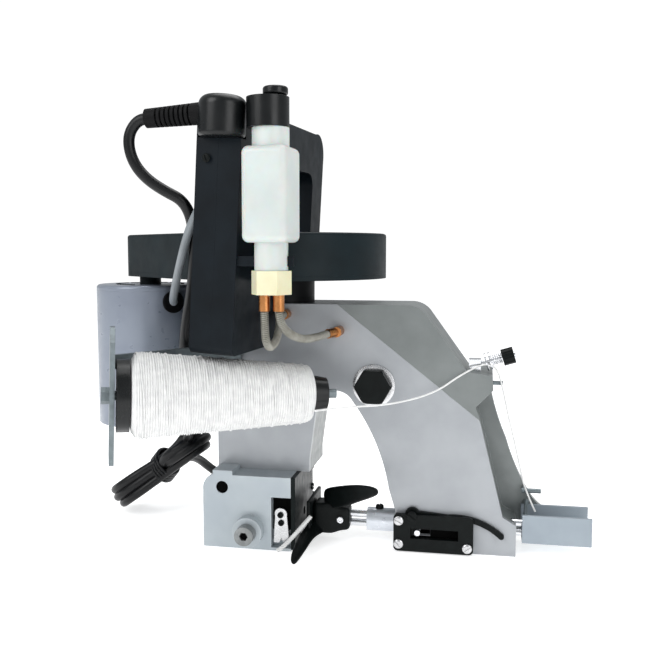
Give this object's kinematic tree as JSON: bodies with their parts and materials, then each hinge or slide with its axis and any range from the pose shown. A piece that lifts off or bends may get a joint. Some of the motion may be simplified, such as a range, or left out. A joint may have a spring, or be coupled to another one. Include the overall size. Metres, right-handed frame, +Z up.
{
  "type": "bag closer sewing machine",
  "caption": "Portable C-frame machine that sews sack mouths shut: vertical motor, belt drive, horizontal needle bar, looper head, oil bottle, thread cone and handle.",
  "frame": {"origin": "foot of the vertical main shaft's axis, on the flat underside of the looper head", "axes": "+Z up, +X from the looper head across the bag gap to the needle side, +Y to the rear"},
  "size_m": [0.364, 0.2134, 0.299],
  "materials": {
    "frame_paint": "satin grey hammered paint",
    "cover_paint": "satin silver paint",
    "head_paint": "satin silver paint",
    "dark_green_paint": "semi-gloss dark paint",
    "black_plastic": "fine moulded texture",
    "gloss_black": "glossy moulded",
    "handle_plastic": "fine moulded texture",
    "steel": "ground steel",
    "bright_chrome": "polished",
    "black_oxide": "black oxide, oiled",
    "motor_paint": "satin grey paint",
    "rubber_black": "matt",
    "belt_rubber": "matt",
    "bottle_plastic": "milky translucent",
    "nut_plastic": "ivory nylon",
    "brass": "turned",
    "hose_braid": "braided sleeve",
    "white_thread": "wound polyester thread",
    "channel_paint": "satin",
    "grey_cord": "satin PVC",
    "black_cord": "satin PVC",
    "rotor_iron": "laminated",
    "pulley_alloy": "turned",
    "bearing_steel": "ground",
    "plated_bracket": "zinc plated"
  },
  "bodies": {
    "root": {"frame_casting": "frame_paint", "front_cover": "cover_paint", "rear_cover": "frame_paint", "screws": "steel", "looper_head": "head_paint", "throat_plate": "dark_green_paint", "fixed_knife": "steel", "neck_housing": "black_plastic", "shaft_bearings": "bearing_steel", "belt_cover_base": "black_plastic", "belt_cover": "gloss_black", "drive_belt": "belt_rubber", "motor_body": "motor_paint", "motor_end_caps": "motor_paint", "motor_bracket": "plated_bracket", "motor_grommet": "rubber_black", "handle_shells": "handle_plastic", "handle_cap": "gloss_black", "strain_relief": "rubber_black", "oil_bottle": "bottle_plastic", "oil_cap": "gloss_black", "oil_nut": "nut_plastic", "oil_fittings": "brass", "oil_hose_a": "hose_braid", "oil_hose_b": "hose_braid", "spool_bracket": "plated_bracket", "tension_post": "bright_chrome", "tension_discs": "bright_chrome", "tension_spring": "bright_chrome", "thread_guides": "plated_bracket", "guard_channel": "channel_paint", "bar_housing": "steel", "lifter_plate": "black_oxide", "lever_shaft": "steel", "pivot_nut": "black_oxide", "mains_lead": "black_cord", "mains_hank": "black_cord", "mains_plug": "black_cord", "motor_lead": "grey_cord", "sewing_thread": "white_thread", "thread_chain": "white_thread"},
    "main_shaft": {"main_shaft": "steel", "driven_pulley": "pulley_alloy"},
    "motor_rotor": {"motor_rotor": "rotor_iron"},
    "needle_lever": {"needle_lever": "steel"},
    "connecting_rod": {"connecting_rod": "steel"},
    "needle_bar": {"needle_bar": "bright_chrome", "needle": "bright_chrome"},
    "presser": {"presser_bar": "bright_chrome", "presser_foot": "black_oxide"},
    "lifter_lever": {"lifter_lever": "black_oxide"},
    "looper": {"looper": "steel"},
    "feed_dog": {"feed_dog": "steel"},
    "moving_knife": {"moving_knife": "steel"},
    "feed_adjust": {"feed_adjust_screw": "steel"},
    "spool": {"thread_cone": "white_thread", "cone_holders": "gloss_black"},
    "tension_knob": {"tension_knob": "black_oxide"},
    "oil_pump": {"pump_knob": "gloss_black"},
    "trigger": {"trigger": "black_plastic"}
  },
  "joints": [
    {"name": "main_shaft_spin", "type": "hinge", "parent": "root", "child": "main_shaft", "pos_m": [0, 0, 0.18], "axis": [0, 0, 1], "continuous": true},
    {"name": "motor_spin", "type": "hinge", "parent": "root", "child": "motor_rotor", "pos_m": [-0.108, 0.02, 0.12], "axis": [0, 0, 1], "continuous": true},
    {"name": "needle_lever_swing", "type": "hinge", "parent": "root", "child": "needle_lever", "pos_m": [0.071, 0, 0.113], "axis": [0, 1, 0], "range_deg": [0, 15.5]},
    {"name": "connecting_rod_pivot", "type": "hinge", "parent": "needle_lever", "child": "connecting_rod", "pos_m": [0.06695, 0.003, 0.14273], "axis": [0, 1, 0], "range_deg": [-15.6, 0]},
    {"name": "needle_bar_slide", "type": "slide", "parent": "root", "child": "needle_bar", "axis": [1, 0, 0], "range_m": [-0.024, 0]},
    {"name": "looper_rock", "type": "hinge", "parent": "root", "child": "looper", "pos_m": [-0.014, -0.004, 0.04], "axis": [0, 0, 1], "range_deg": [0, 18.1]},
    {"name": "feed_dog_slide", "type": "slide", "parent": "root", "child": "feed_dog", "axis": [0, 1, 0], "range_m": [0, 0.0041]},
    {"name": "moving_knife_slide", "type": "slide", "parent": "root", "child": "moving_knife", "axis": [-1, 0, 0], "range_m": [-0.0001, 0.0022]},
    {"name": "lifter_lever_turn", "type": "hinge", "parent": "root", "child": "lifter_lever", "pos_m": [0.098, -0.028, 0.0255], "axis": [0, -1, 0], "range_deg": [0, 22.1]},
    {"name": "presser_slide", "type": "slide", "parent": "root", "child": "presser", "axis": [1, 0, 0], "range_m": [0, 0.005]},
    {"name": "spool_spin", "type": "hinge", "parent": "root", "child": "spool", "pos_m": [-0.071, -0.111, 0.116], "axis": [0.9006, 0.4333, -0.034], "continuous": true},
    {"name": "tension_knob_turn", "type": "hinge", "parent": "root", "child": "tension_knob", "pos_m": [0.141, -0.01, 0.1274], "axis": [0.9563, 0, 0.2924], "range_deg": [-180, 180]},
    {"name": "feed_adjust_turn", "type": "hinge", "parent": "root", "child": "feed_adjust", "pos_m": [-0.0118, -0.05, 0.0138], "axis": [0, -1, 0], "range_deg": [-180, 180]},
    {"name": "oil_pump_lift", "type": "slide", "parent": "root", "child": "oil_pump", "axis": [0, 0, 1], "range_m": [0, 0.005], "stiffness_N_per_m": 300, "springref_m": -0.002},
    {"name": "trigger_pull", "type": "slide", "parent": "root", "child": "trigger", "axis": [0.0556, -0.0049, 0.9984], "range_m": [0, 0.005], "stiffness_N_per_m": 400, "springref_m": -0.002}
  ],
  "couplings": [
    {"joint": "motor_spin", "follows": "main_shaft_spin", "ratio": 5.3119},
    {"joint": "connecting_rod_pivot", "follows": "needle_lever_swing", "ratio": -1},
    {"joint": "needle_bar_slide", "follows": "needle_lever_swing", "m_per_rad": -0.0876},
    {"joint": "looper_rock", "follows": "needle_lever_swing", "ratio": 1.1613},
    {"joint": "feed_dog_slide", "follows": "needle_lever_swing", "m_per_rad": 0.01479},
    {"joint": "moving_knife_slide", "follows": "needle_lever_swing", "m_per_rad": 0.00739},
    {"joint": "lifter_lever_turn", "follows": "presser_slide", "rad_per_m": 76.794}
  ]
}
